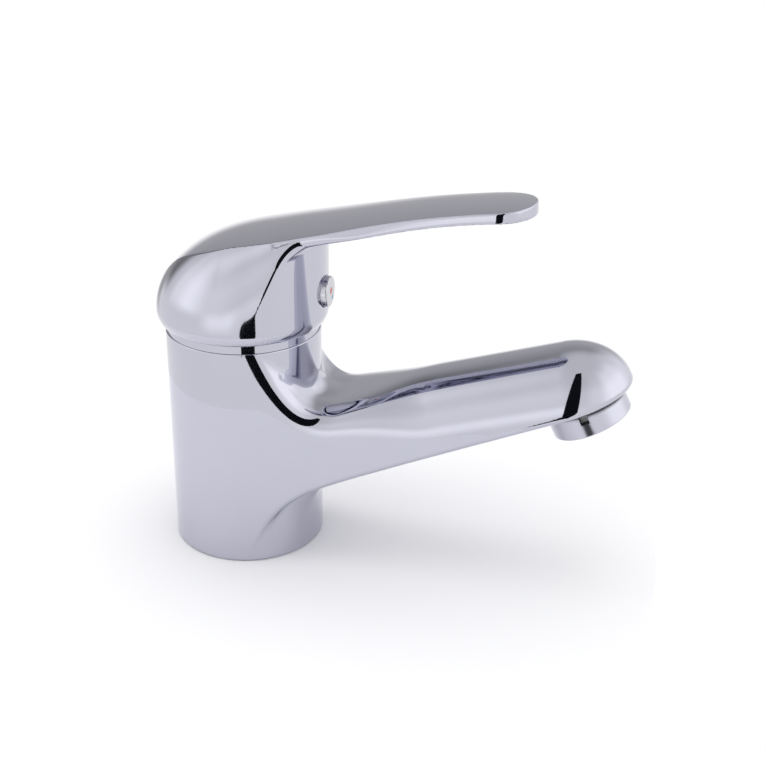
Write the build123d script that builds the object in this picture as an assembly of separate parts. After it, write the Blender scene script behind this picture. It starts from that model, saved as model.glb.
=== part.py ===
from build123d import *
import os
from math import cos, hypot, radians, sin, tan

# Single-lever basin mixer: cast body with a rising spout, domed lever handle,
# ceramic-disc cartridge and aerator.
# Millimetres, +Z up, +X along the spout. The origin is the middle of the base, on the deck.

# Clearances
running_gap = 0.3       # pieces that turn or slide on each other
pin_gap = 0.1           # the pivot pin in its running hole
fit_gap = 0.05          # pieces that are screwed or pressed together
swing_gap = 0.4         # the lever's swinging parts, clear of what stands still

# Body
body_radius = 23.5
body_height = 70.0
base_round = 1.0
seam_round = 0.4

# Spout: D-shaped sections, from a flared root inside the body to the outlet axis. Each has a
# round crown above its widest level and a squarer keel below it, given as
# (x, level, half width, height of the crown, depth of the keel)
spout_sections = [
    (8, 30.0, 18.0, 17.2, 26.0),
    (36, 38.6, 16.8, 16.8, 12.0),
    (68, 48.4, 15.8, 16.0, 7.6),
]
spout_end_half_width = 15.4
spout_blend = 12.0
crown_squareness = 2.2
keel_squareness = 3.2
nose_radius = 15.8
nose_keel = 2.8

# Outlet: the middle of the aerator's lower rim, and its forward tilt from straight down
outlet_reach = 106.7
outlet_height = 51.3
outlet_tilt = 27.2

# Aerator, along its own axis from the lower rim upwards
ring_radius = 12.0
ring_show = 6.0
ring_seat = 3.2
ring_edge_round = 0.4
thread_inset = 1.0
thread_length = 5.0
aerator_wall = 1.3
aerator_lip = 0.5
spanner_slot_width = 2.6
spanner_slot_bottom = 4.0
spanner_slot_top = 7.6
spanner_slot_turn = 3.5
washer_height = 1.2
washer_wall = 2.2
screen_height = 0.8
grid_recess = 1.2
grid_height = 2.0
grid_hole_radius = 0.8
grid_pitch = 2.5
grid_rings = 3
insert_wall = 1.2
insert_height = 10.0

# Cartridge: its seat and shoulder lie below the body's top, its neck stands above it
cartridge_radius = 17.5
cartridge_depth = 30.0
shoulder_depth = 10.5
neck_rise = 1.9
cartridge_wall = 1.6
plate_height = 3.5
fixed_disc_height = 3.0
moving_disc_height = 3.5
moving_disc_inset = 3.6
mixing_pocket_radius = 6.1
mixing_pocket_x = -4.6
mixing_pocket_depth = 1.4
carrier_height = 3.5
carrier_offset = 2.0
rail_width = 2.4
rail_height = 1.5
rail_side = 8.0
rail_length = 18.0
rotor_flange_height = 2.1
rotor_flange_inset = 2.4
rotor_neck_radius = 10.5
neck_wall = 3.2
peg_radius = 1.5
peg_length = 2.5
peg_inset = 4.5
key_radius = 1.2
key_height = 2.0
key_inset = 2.0

# Waterways: two inlet columns stand in a mixed-water chamber that opens into the spout
inlet_x = 5.0
inlet_side = 6.2
inlet_radius = 2.6
inlet_column_radius = 6.0
inlet_thread_radius = 4.5
inlet_thread_depth = 14.0
outlet_port_x = -7.5
outlet_port_radius = 3.2
seal_wall = 1.2
chamber_floor = 16.0
seat_wall = 4.0
body_wall = 4.0
spout_way_radius = 5.0
spout_way_start = (15.0, 30.0)
stud_radius = 3.4
stud_depth = 12.0
stud_x = -12.0

# Base gasket, in a groove under the base
gasket_inset = 2.0
gasket_width = 3.0
gasket_height = 2.0

# Retaining nut and trim ring
nut_ledge = 2.0
nut_relief = 1.5
nut_slot_width = 4.0
nut_slot_depth = 1.6
nut_slots = 4
trim_inset = 0.4
trim_rise = 2.6
trim_lip = 0.8
trim_edge_round = 0.3

# Spindle: a flat stem that rocks on the pivot pin
pivot_depth = 8.0       # below the body's top
lift_angle = 25.0
stem_depth = 6.0
stem_width = 8.0
stem_below_pivot = 5.0
stem_rise = 21.0        # above the body's top
finger_radius = 1.5
finger_ball_radius = 2.2
finger_reach = 9.5
pin_radius = 1.5

# Handle, with heights above the body's top
rim_rise = 3.0
rim_overhang = 1.6       # past the trim ring
rim_wall = 0.9
hub_bulge = 1.2          # past the rim
hub_bulge_rise = 6.6
hub_rise = 29.8
hub_squareness = 2.2
boss_radius = 8.5
boss_rise = 10.0
socket_roof = 0.5
lever_reach = 87.0
lever_tip_radius = 11.0

# The roof of the hub's front, as arches that climb towards the lever: each one's place behind
# the roof's front end, how much it is narrower than the hub, and its rise
roof_overrun = 1.1
roof_arches = [(12, 0.8, 32.5), (6, 4.1, 34.0), (0, 6.1, 35.4)]

# The lever, as (x, half width, rise of the underside, of the side edge and of the crown)
lever_sections = [
    (0, 12.4, 22.0, 26.6, 28.9),
    (8, 12.3, 24.0, 29.6, 31.9),
    (22, 12.1, 29.2, 33.7, 35.2),
    (36, 11.9, 33.8, 37.7, 39.0),
    (50, 11.6, 37.9, 40.8, 42.3),
    (67, 11.2, 41.3, 43.6, 45.1),
    (79, lever_tip_radius, 42.4, 45.1, 46.4),
    (90, lever_tip_radius, 42.9, 45.8, 46.7),
]

# Set screw and index button, in line on the hub's front
button_rise = 13.2
button_radius = 4.65
button_seat_x = 19.0
button_proud = 1.5
button_edge_round = 0.5
button_wall = 1.0
mark_depth = 0.5
red_mark_radius = 1.1
red_mark_place = (0.3, 0.2)
blue_mark_radius = 0.7
blue_mark_place = (1.7, -2.3)
screw_radius = 3.0
screw_length = 11.0
screw_socket_radius = 1.45
screw_socket_depth = 3.0

# Heights and radii that follow from the values above
trim_radius = body_radius - trim_inset
rim_radius = trim_radius + rim_overhang
hub_radius = rim_radius + hub_bulge
gasket_radius = body_radius - gasket_inset
cartridge_seat = body_height - cartridge_depth
shoulder_height = body_height - shoulder_depth
cartridge_top = body_height + neck_rise
disc_bed = cartridge_seat + plate_height
moving_disc_bed = disc_bed + fixed_disc_height
carrier_bed = moving_disc_bed + moving_disc_height
carrier_top = carrier_bed + carrier_height
flange_bed = carrier_top + running_gap
neck_bed = flange_bed + rotor_flange_height
housing_roof = neck_bed + running_gap
housing_bore = cartridge_radius - cartridge_wall
fixed_disc_radius = housing_bore - running_gap
moving_disc_radius = fixed_disc_radius - moving_disc_inset
rotor_flange_radius = housing_bore - rotor_flange_inset
peg_side = cartridge_radius - peg_inset
key_side = fixed_disc_radius - key_inset
neck_bore = rotor_neck_radius + running_gap
neck_radius = neck_bore + neck_wall
rotor_top = cartridge_top - running_gap
chamber_roof = cartridge_seat - seat_wall
nut_thread_radius = cartridge_radius + nut_ledge
trim_bore = nut_thread_radius + fit_gap
trim_top = body_height + trim_rise
nut_top = trim_top - trim_lip - running_gap
pivot_height = body_height - pivot_depth
stem_foot = pivot_height - stem_below_pivot
stem_top = body_height + stem_rise
ball_height = pivot_height - finger_reach
rim_height = body_height + rim_rise
bulge_height = body_height + hub_bulge_rise
hub_top = body_height + hub_rise
hub_bore = hypot(rim_radius - rim_wall, rim_height - pivot_height)
button_height = body_height + button_rise
button_face = hub_radius + button_proud
thread_radius = ring_radius - thread_inset
aerator_bore = thread_radius - aerator_wall
washer_bore = thread_radius - washer_wall
nose_level = ring_show + nose_keel
ring_top = ring_show + ring_seat
thread_top = ring_top + thread_length
outlet_roof = thread_top + washer_height
inlet_places = [(inlet_x, side * inlet_side) for side in (-1, 1)]


def upright(radius, bottom, top, x=0.0, y=0.0):
    """A vertical cylinder between two heights."""
    return Pos(x, y, bottom) * Cylinder(radius, top - bottom, align=(Align.CENTER, Align.CENTER, Align.MIN))


def ring(outer, inner, bottom, top, x=0.0, y=0.0):
    """A vertical tube between two heights."""
    return upright(outer, bottom, top, x, y) - upright(inner, bottom, top, x, y)


def along_x(radius, start, end, z):
    """A cylinder along X between two places, at one height."""
    rod = Cylinder(radius, end - start, align=(Align.CENTER, Align.CENTER, Align.MIN))
    return Plane(origin=(start, 0, z), x_dir=(0, 1, 0), z_dir=(1, 0, 0)) * rod


def block(x0, x1, half_width, z0, z1):
    """A box between two places along X and two heights, even about the middle plane."""
    return Pos((x0 + x1) / 2, 0, (z0 + z1) / 2) * Box(x1 - x0, 2 * half_width, z1 - z0)


def power(base, exponent):
    """A signed power, for superellipses."""
    return abs(base) ** exponent * (1 if base >= 0 else -1)


def cross_section(x, level=0.0):
    """The plane across the spout or lever at one X, with Y to its right and Z up."""
    return Plane(origin=(x, 0, level), x_dir=(0, 1, 0), z_dir=(1, 0, 0))


def outlet_frame(lift=0.0):
    """The aerator's own frame: its Z runs up the tilted outlet axis from the lower rim."""
    tilt = radians(outlet_tilt)
    up = (-sin(tilt), 0, cos(tilt))
    origin = (outlet_reach + lift * up[0], 0, outlet_height + lift * up[2])
    return Plane(origin=origin, x_dir=(cos(tilt), 0, sin(tilt)), z_dir=up)


def outlet_tube(radius, bottom, top):
    """A cylinder along the outlet axis between two distances above the lower rim."""
    tube = Cylinder(radius, top - bottom, align=(Align.CENTER, Align.CENTER, Align.MIN))
    return outlet_frame(bottom) * tube


def d_points(half_width, crown, keel, start, end, count):
    """Points round a D-shaped outline, between two turns counted from its right-hand side."""
    points = []
    for step in range(count):
        turn = radians(start + (end - start) * step / count)
        height = crown if sin(turn) >= 0 else keel
        squareness = crown_squareness if sin(turn) >= 0 else keel_squareness
        across = half_width * power(cos(turn), 2 / squareness)
        points.append((across, height * power(sin(turn), 2 / squareness)))
    return points


def d_section(plane, half_width, crown, keel):
    """One whole D-shaped section of the spout, as a face on its plane."""
    outline = Spline(d_points(half_width, crown, keel, 0, 360, 16), periodic=True)
    return make_face(plane * outline)


def nose_shape():
    """The spout's rounded end: half of the D outline, turned round the outlet axis."""
    half = d_points(nose_radius, nose_radius, nose_keel, -90, 90, 8)
    points = [(0, -nose_keel)] + half[1:] + [(0, nose_radius)]
    edge = Spline(points, tangents=[(1, 0), (-1, 0)])
    axis_line = Line((0, nose_radius), (0, -nose_keel))
    face = make_face(Plane.XZ * (edge + axis_line))
    return outlet_frame(nose_level) * revolve(face, Axis.Z)


def body_outside():
    """The plated outside: a straight drum, the spout that grows from it and its rounded nose."""
    drum = upright(body_radius, 0, body_height)
    drum = fillet(drum.edges().group_by(Axis.Z)[0], base_round)
    drum = fillet(drum.edges().group_by(Axis.Z)[-1], seam_round)
    end = outlet_frame(nose_level)
    end_plane = Plane(origin=end.origin, x_dir=(0, 1, 0), z_dir=end.x_dir)
    sections = [d_section(cross_section(x, level), *sizes) for x, level, *sizes in spout_sections]
    sections.append(d_section(end_plane, spout_end_half_width, spout_end_half_width, nose_keel))
    spout = loft(sections)
    outside = drum + spout
    outside = fillet(new_edges(drum, spout, combined=outside), spout_blend)
    return outside + nose_shape()


def spout_way():
    """The bore from the mixed-water chamber up the spout to the outlet."""
    start = Vector(spout_way_start[0], 0, spout_way_start[1])
    end = Vector(outlet_frame(outlet_roof).origin)
    way = Cylinder(spout_way_radius, (end - start).length, align=(Align.CENTER, Align.CENTER, Align.MIN))
    return Plane(origin=start, x_dir=(0, 1, 0), z_dir=end - start) * way


def make_body():
    """The casting: cartridge bore, inlet columns in the chamber, spout way, outlet and base holes."""
    chamber = upright(body_radius - body_wall, chamber_floor, chamber_roof)
    for x, y in inlet_places:
        chamber -= upright(inlet_column_radius, chamber_floor, chamber_roof, x, y)
    cuts = [chamber, spout_way()]
    cuts.append(upright(cartridge_radius + running_gap, cartridge_seat, body_height))
    cuts.append(upright(nut_thread_radius, shoulder_height - nut_relief, body_height))
    cuts.append(outlet_tube(ring_radius + running_gap, 0, ring_top))
    cuts.append(outlet_tube(thread_radius + fit_gap, 0, outlet_roof))
    cuts.append(upright(outlet_port_radius, chamber_floor, cartridge_seat, outlet_port_x))
    for x, y in inlet_places:
        cuts.append(upright(inlet_radius, 0, cartridge_seat, x, y))
        cuts.append(upright(inlet_thread_radius, 0, inlet_thread_depth, x, y))
    for side in (-1, 1):
        hole_depth = cartridge_seat - peg_length - running_gap
        cuts.append(upright(peg_radius + running_gap, hole_depth, cartridge_seat, 0, side * peg_side))
    cuts.append(upright(stud_radius, 0, stud_depth, stud_x))
    cuts.append(ring(gasket_radius, gasket_radius - gasket_width, 0, gasket_height))
    return body_outside() - cuts


def make_base_gasket():
    """The rubber ring that seals the base on the deck."""
    return ring(gasket_radius - fit_gap, gasket_radius - gasket_width + fit_gap, fit_gap, gasket_height)


def make_trim_ring():
    """The plated ring that covers the nut, with a lip round the cartridge's neck."""
    band = ring(trim_radius, trim_bore, body_height, trim_top)
    lip = ring(trim_bore, neck_radius + running_gap, trim_top - trim_lip, trim_top)
    cover = band + lip
    outer_edge = cover.edges().group_by(Axis.Z)[-1].sort_by(SortBy.RADIUS)[-1]
    return fillet(outer_edge, trim_edge_round)


def make_retaining_nut():
    """The threaded ring that presses on the cartridge's shoulder, with slots for a peg spanner."""
    nut = ring(nut_thread_radius - fit_gap, neck_radius + running_gap, shoulder_height, nut_top)
    slot = Pos(0, 0, nut_top) * Box(2 * nut_thread_radius, nut_slot_width, 2 * nut_slot_depth)
    for step in range(nut_slots // 2):
        nut -= Rot(0, 0, 360 / nut_slots * step) * slot
    return nut


def make_cartridge_housing():
    """The cartridge's shell: a wide skirt, a shoulder for the nut and a neck for the rotor."""
    skirt = ring(cartridge_radius, housing_bore, disc_bed, housing_roof)
    shoulder = ring(cartridge_radius, neck_bore, housing_roof, shoulder_height)
    neck = ring(neck_radius, neck_bore, shoulder_height, cartridge_top)
    return skirt + shoulder + neck


def make_cartridge_base():
    """The port plate, with two pegs into the body and two keys into the fixed disc."""
    plate = upright(cartridge_radius, cartridge_seat, disc_bed)
    for side in (-1, 1):
        plate += upright(peg_radius, cartridge_seat - peg_length, cartridge_seat, 0, side * peg_side)
        plate += upright(key_radius, disc_bed, disc_bed + key_height, 0, side * key_side)
    for x, y in inlet_places:
        plate -= upright(inlet_radius + seal_wall, cartridge_seat, disc_bed, x, y)
    return plate - upright(outlet_port_radius + seal_wall, cartridge_seat, disc_bed, outlet_port_x)


def port_seal(radius, x, y):
    """One rubber ring through the port plate, from the body to the fixed disc."""
    return ring(radius + seal_wall - fit_gap, radius, cartridge_seat, disc_bed, x, y)


def make_inlet_seals():
    """The hot and the cold port's rings."""
    return Compound([port_seal(inlet_radius, x, y).solid() for x, y in inlet_places])


def make_outlet_seal():
    """The mixed-water port's ring."""
    return port_seal(outlet_port_radius, outlet_port_x, 0)


def make_fixed_disc():
    """The lower ceramic disc, with a port over each seal and holes for the keys."""
    disc = upright(fixed_disc_radius, disc_bed, moving_disc_bed)
    for x, y in inlet_places:
        disc -= upright(inlet_radius, disc_bed, moving_disc_bed, x, y)
    for side in (-1, 1):
        disc -= upright(key_radius + running_gap, disc_bed, moving_disc_bed, 0, side * key_side)
    return disc - upright(outlet_port_radius, disc_bed, moving_disc_bed, outlet_port_x)


def make_moving_disc():
    """The upper ceramic disc, whose pocket joins the inlets to the outlet as it slides forward."""
    disc = upright(moving_disc_radius, moving_disc_bed + fit_gap, carrier_bed, -carrier_offset)
    pocket_top = moving_disc_bed + mixing_pocket_depth
    return disc - upright(mixing_pocket_radius, moving_disc_bed, pocket_top, mixing_pocket_x)


def make_disc_carrier():
    """The slider on the moving disc, grooved for the rotor's rails and bored for the spindle's ball."""
    carrier = upright(moving_disc_radius, carrier_bed, carrier_top, -carrier_offset)
    groove_bottom = carrier_top - rail_height - running_gap
    for side in (-1, 1):
        groove = block(-body_radius, body_radius, rail_width / 2 + running_gap, groove_bottom, carrier_top)
        carrier -= Pos(0, side * rail_side, 0) * groove
    return carrier - upright(finger_ball_radius + swing_gap, carrier_bed, carrier_top)


def make_spindle_rotor():
    """The turret: a flange with rails below, a neck above and a slot in which the spindle rocks."""
    rotor = upright(rotor_flange_radius, flange_bed, neck_bed)
    rotor += upright(rotor_neck_radius, neck_bed, rotor_top)
    for side in (-1, 1):
        rail = block(-rail_length / 2, rail_length / 2, rail_width / 2, flange_bed - rail_height, flange_bed)
        rotor += Pos(0, side * rail_side, 0) * rail
    lean = tan(radians(lift_angle))
    near = stem_depth / 2 + swing_gap
    far = stem_depth / 2 / cos(radians(lift_angle)) + swing_gap
    front = finger_reach * sin(radians(lift_angle)) + finger_ball_radius + swing_gap
    rear = far + (rotor_top - pivot_height) * lean
    outline = Polyline(
        (-rear, rotor_top),
        (near, rotor_top),
        (near, pivot_height),
        (front, stem_foot),
        (front, flange_bed),
        (-near, flange_bed),
        (-far, pivot_height),
        close=True,
    )
    slot = extrude(make_face(Plane.XZ * outline), stem_width / 2 + running_gap, both=True)
    return rotor - slot - across_pin(pin_radius)


def across_pin(radius):
    """A rod on the pivot axis, as long as the rotor's neck lets it be."""
    half_length = rotor_neck_radius - 2 * running_gap
    return Pos(0, 0, pivot_height) * Rot(90, 0, 0) * Cylinder(radius, 2 * half_length)


def make_spindle():
    """The flat stem: clamped in the handle above, rocking on the pin, with a ball-ended finger below."""
    stem = block(-stem_depth / 2, stem_depth / 2, stem_width / 2, stem_foot, stem_top)
    stem += upright(finger_radius, ball_height, stem_foot)
    stem += Pos(0, 0, ball_height) * Sphere(finger_ball_radius)
    return stem - across_pin(pin_radius + pin_gap)


def half_arch(half_width, rise, count=6):
    """Half of a superellipse arch that springs upright from the hub's bulge to its crown."""
    height = rise - hub_bulge_rise
    points = []
    for step in range(count + 1):
        turn = radians(90 * step / count)
        across = half_width * power(cos(turn), 2 / hub_squareness)
        points.append((across, bulge_height + height * power(sin(turn), 2 / hub_squareness)))
    return Spline(points, tangents=[(0, 1), (-1, 0)])


def half_turn(outline, arc):
    """A solid of half a turn about the hub's axis, from an outline drawn across the hub."""
    return revolve(make_face(cross_section(0) * outline), Axis.Z, arc)


def hub_lip():
    """The short curve, in side view, by which the hub's wall draws in to its rim."""
    return TangentArc((hub_radius, bulge_height), (rim_radius, rim_height), tangent=(0, -1))


def hub_rear():
    """The hub's rear half: a turned dome over the lip."""
    inside = Polyline((rim_radius, rim_height), (0, rim_height), (0, hub_top))
    return half_turn(half_arch(hub_radius, hub_rise) + hub_lip() + inside, 180)


def hub_front():
    """The hub's front half: an upright round wall on the same lip, under the roof of arches."""
    tall = 2 * hub_top
    inside = Polyline((rim_radius, rim_height), (0, rim_height), (0, tall))
    wall = Polyline((0, tall), (hub_radius, tall), (hub_radius, bulge_height))
    drum = half_turn(hub_lip() + inside + wall, -180)
    front_x = hub_radius + roof_overrun
    sections = [roof_section(0, hub_radius, hub_rise)]
    sections += [roof_section(front_x - back, hub_radius - inset, rise) for back, inset, rise in roof_arches]
    return drum & loft(sections)


def roof_section(x, half_width, rise):
    """One arch across the hub's front, closed down to the rim."""
    arch = half_arch(half_width, rise)
    sill = [(-half_width, bulge_height), (-half_width, rim_height), (half_width, rim_height)]
    legs = Polyline(*sill, (half_width, bulge_height))
    return make_face(cross_section(x) * (arch + mirror(arch, about=Plane.YZ) + legs))


def lever_section(x, half_width, under_rise, edge_rise, crown_rise):
    """One section across the lever: flat below, upright sides and a slightly crowned top."""
    under = body_height + under_rise
    edge = body_height + edge_rise
    crown = ThreePointArc((-half_width, edge), (0, body_height + crown_rise), (half_width, edge))
    trough = Polyline((half_width, edge), (half_width, under), (-half_width, under), (-half_width, edge))
    return make_face(cross_section(x) * (crown + trough))


def lever_arm():
    """The lever, rounded off at its tip as seen from above."""
    arm = loft([lever_section(*section) for section in lever_sections])
    round_x = lever_reach - lever_tip_radius
    outline = block(-hub_radius, round_x, hub_radius, body_height, 2 * hub_top)
    return arm & (outline + upright(lever_tip_radius, body_height, 2 * hub_top, round_x))


def handle_hollow():
    """The room inside the hub, round the pivot, less the stem's boss and the button's web."""
    hollow = Pos(0, 0, pivot_height) * Sphere(hub_bore)
    hollow -= upright(boss_radius, body_height + boss_rise, hub_top)
    web_half_width = button_radius + button_wall
    return hollow - block(0, hub_radius, web_half_width, button_height - web_half_width, hub_top)


def make_handle():
    """The handle casting: domed hub, lever, hollow for the cartridge and a clamped stem socket."""
    outside = hub_rear() + hub_front() + lever_arm()
    half_depth = stem_depth / 2 + fit_gap
    half_width = stem_width / 2 + fit_gap
    cuts = handle_hollow()
    cuts += block(-half_depth, half_depth, half_width, pivot_height, stem_top + socket_roof)
    cuts += along_x(screw_radius, 0, button_seat_x, button_height)
    cuts += along_x(button_radius + fit_gap, button_seat_x, 2 * hub_radius, button_height)
    return outside - cuts


def make_set_screw():
    """The grub screw between the stem and the button, with a hexagon socket."""
    start = stem_depth / 2 + fit_gap
    end = start + screw_length
    screw = along_x(screw_radius - fit_gap, start, end, button_height)
    socket_plane = Plane(origin=(end, 0, button_height), x_dir=(0, 1, 0), z_dir=(1, 0, 0))
    socket = extrude(socket_plane * RegularPolygon(screw_socket_radius, 6), -screw_socket_depth)
    return screw - socket


def mark(radius, place):
    """One enamel dot, let into the button's face."""
    return Pos(0, place[0], place[1]) * along_x(radius, button_face - mark_depth, button_face, button_height)


def make_index_button():
    """The plug that covers the set screw, with shallow seats for the two dots."""
    button = along_x(button_radius, button_seat_x, button_face, button_height)
    button = fillet(button.edges().group_by(Axis.X)[-1], button_edge_round)
    return button - mark(red_mark_radius, red_mark_place) - mark(blue_mark_radius, blue_mark_place)


def make_aerator_housing():
    """The plated ring: threaded neck above, lip below for the insert, and two spanner slots."""
    housing = Cylinder(ring_radius, ring_top, align=(Align.CENTER, Align.CENTER, Align.MIN))
    housing = fillet(housing.edges().group_by(Axis.Z)[0], ring_edge_round)
    housing += upright(thread_radius, ring_top, thread_top)
    housing -= upright(aerator_bore - aerator_lip, 0, grid_recess)
    housing -= upright(aerator_bore, grid_recess, thread_top)
    slot_height = spanner_slot_top - spanner_slot_bottom
    slot = Pos(0, 0, spanner_slot_bottom + slot_height / 2)
    slot = slot * Box(spanner_slot_width, 4 * ring_radius, slot_height)
    return outlet_frame() * (housing - Rot(0, 0, spanner_slot_turn) * slot)


def make_aerator_insert():
    """The plastic cup inside the ring, with a grid of round holes in its floor."""
    radius = aerator_bore - fit_gap
    floor_top = grid_recess + grid_height
    insert = upright(radius, grid_recess, grid_recess + insert_height)
    insert -= upright(radius - insert_wall, floor_top, grid_recess + insert_height)
    places = [(0, 0)]
    for step in range(1, grid_rings + 1):
        places += [(loc.position.X, loc.position.Y) for loc in PolarLocations(step * grid_pitch, 6 * step)]
    insert -= [upright(grid_hole_radius, grid_recess, floor_top, x, y) for x, y in places]
    return outlet_frame() * insert


def make_aerator_screen():
    """The gauze disc that lies on the insert."""
    bottom = grid_recess + insert_height
    return outlet_tube(aerator_bore - fit_gap, bottom, bottom + screen_height)


def make_aerator_washer():
    """The rubber washer between the aerator's neck and the spout."""
    washer = outlet_tube(thread_radius, thread_top, outlet_roof)
    return washer - outlet_tube(washer_bore, thread_top, outlet_roof)


makers = {
    "body": make_body,
    "base_gasket": make_base_gasket,
    "trim_ring": make_trim_ring,
    "retaining_nut": make_retaining_nut,
    "cartridge_housing": make_cartridge_housing,
    "cartridge_base": make_cartridge_base,
    "inlet_seals": make_inlet_seals,
    "outlet_seal": make_outlet_seal,
    "fixed_disc": make_fixed_disc,
    "moving_disc": make_moving_disc,
    "disc_carrier": make_disc_carrier,
    "spindle_rotor": make_spindle_rotor,
    "pivot_pin": lambda: across_pin(pin_radius),
    "spindle": make_spindle,
    "handle": make_handle,
    "set_screw": make_set_screw,
    "index_button": make_index_button,
    "red_mark": lambda: mark(red_mark_radius, red_mark_place),
    "blue_mark": lambda: mark(blue_mark_radius, blue_mark_place),
    "aerator_housing": make_aerator_housing,
    "aerator_insert": make_aerator_insert,
    "aerator_screen": make_aerator_screen,
    "aerator_washer": make_aerator_washer,
}

os.makedirs("parts", exist_ok=True)
for name, make in makers.items():
    export_step(make(), f"parts/{name}.step")
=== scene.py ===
"""Looks of a chrome single-lever basin mixer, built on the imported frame.

Sizes inside the classes are in millimetres, in the frame's own axes: +X along the spout,
+Z up, origin in the middle of the base. Meshes are written in metres.
"""
import logging
import math
from collections.abc import Callable, Sequence
from dataclasses import dataclass, field
from enum import Enum
from typing import ClassVar

import bpy
import numpy as np
from mathutils import Matrix, Vector
from mathutils.geometry import delaunay_2d_cdt


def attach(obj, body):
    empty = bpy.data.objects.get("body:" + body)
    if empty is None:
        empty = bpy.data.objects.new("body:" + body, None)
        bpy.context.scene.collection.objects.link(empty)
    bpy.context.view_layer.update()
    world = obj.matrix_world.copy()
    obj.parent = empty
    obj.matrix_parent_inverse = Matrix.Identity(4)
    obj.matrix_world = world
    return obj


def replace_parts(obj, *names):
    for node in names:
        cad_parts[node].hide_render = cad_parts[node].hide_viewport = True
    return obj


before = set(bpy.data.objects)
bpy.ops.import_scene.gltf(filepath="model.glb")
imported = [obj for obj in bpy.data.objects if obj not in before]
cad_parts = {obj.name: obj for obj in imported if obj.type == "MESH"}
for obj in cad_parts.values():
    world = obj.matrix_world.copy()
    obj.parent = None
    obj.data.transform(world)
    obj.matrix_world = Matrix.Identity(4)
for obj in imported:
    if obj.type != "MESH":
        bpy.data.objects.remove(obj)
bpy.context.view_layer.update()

MM = 0.001
LOG = logging.getLogger("mixer")

X_AXIS, Y_AXIS, Z_AXIS = np.eye(3)
# multiplying by this drops a vector's upright part
FLAT = X_AXIS + Y_AXIS
# a radius that is as good as none
LEAST_ROUND = 1e-3
# cosines between which two faces count as running into each other
NEARLY_FLAT = (0.92, 0.98)
# the smallest square of a slope that a step onto a form reckons with
LEAST_SLOPE = 0.1

Array = np.ndarray
Form = Callable[[Array], Array]
Span = tuple[float, float]


# Small numeric tools


def smooth_step(low: float, high: float, value: Array) -> Array:
    """Rises from 0 at low to 1 at high, with level ends."""
    t = np.clip((value - low) / (high - low), 0.0, 1.0)
    return t * t * (3.0 - 2.0 * t)


def unit(vectors: Array) -> Array:
    """Each row divided by its length."""
    return vectors / np.maximum(np.linalg.norm(vectors, axis=-1, keepdims=True), 1e-12)


def rows_of(vector: Array, count: int) -> Array:
    """The same vector in every row."""
    return np.tile(vector, (count, 1))


def gradient(form: Form, points: Array, reach: float = 0.02) -> Array:
    """Slope of a form at points.

    Args:
        form: gives a signed distance for each point.
        points: places, one per row.
        reach: half the step of the central difference, in millimetres.

    Returns:
        One slope vector per point.
    """
    slope = np.empty_like(points)
    for axis in range(3):
        step = np.zeros(3)
        step[axis] = reach
        slope[:, axis] = (form(points + step) - form(points - step)) / (2.0 * reach)
    return slope


def slope_from(form: Form, points: Array, values: Array, reach: float = 0.02) -> Array:
    """Slope of a form at points where its values are known, from three forward steps.

    Args:
        form: gives a signed distance for each point.
        points: places, one per row.
        values: the form's values there.
        reach: the step, in millimetres.

    Returns:
        One slope vector per point.
    """
    return np.stack([(form(points + reach * axis) - values) / reach for axis in np.eye(3)], axis=1)


def superellipse(across: Array, up: Array, power: Array | float) -> Array:
    """Distance-like value of the unit superellipse, from already scaled coordinates.

    Args:
        across: distance across, over the half width.
        up: distance up, over the height.
        power: squareness; 2 is an ellipse.

    Returns:
        A value that is 0 on the outline and negative inside.
    """
    total = np.abs(across) ** power + np.abs(up) ** power
    return np.maximum(total, 1e-9) ** (1.0 / power) - 1.0


class Spline:
    """A natural cubic curve through a few given stations."""

    def __init__(self, stations: Sequence[Span]) -> None:
        """Solves the curve's second slopes.

        Args:
            stations: (place, value) pairs in rising order.
        """
        self.x, self.y = (np.array(row, float) for row in zip(*stations))
        gap = np.diff(self.x)
        rise = np.diff(self.y) / gap
        count = len(self.x)
        matrix = np.eye(count)
        right = np.zeros(count)
        for i in range(1, count - 1):
            matrix[i, i - 1:i + 2] = gap[i - 1], 2.0 * (gap[i - 1] + gap[i]), gap[i]
            right[i] = 6.0 * (rise[i] - rise[i - 1])
        self.bend = np.linalg.solve(matrix, right)

    def slope(self, place: Array, reach: float = 0.05) -> Array:
        """Steepness of the line at each place."""
        return (self(place + reach) - self(place - reach)) / (2.0 * reach)

    def __call__(self, place: Array) -> Array:
        """Reads the curve, which is held level outside its stations.

        Args:
            place: where to read it.

        Returns:
            The curve's value at each place.
        """
        x = np.clip(place, self.x[0], self.x[-1])
        i = np.clip(np.searchsorted(self.x, x) - 1, 0, len(self.x) - 2)
        gap = self.x[i + 1] - self.x[i]
        before = (self.x[i + 1] - x) / gap
        after = 1.0 - before
        curve = (before ** 3 - before) * self.bend[i] + (after ** 3 - after) * self.bend[i + 1]
        return before * self.y[i] + after * self.y[i + 1] + curve * gap ** 2 / 6.0


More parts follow.
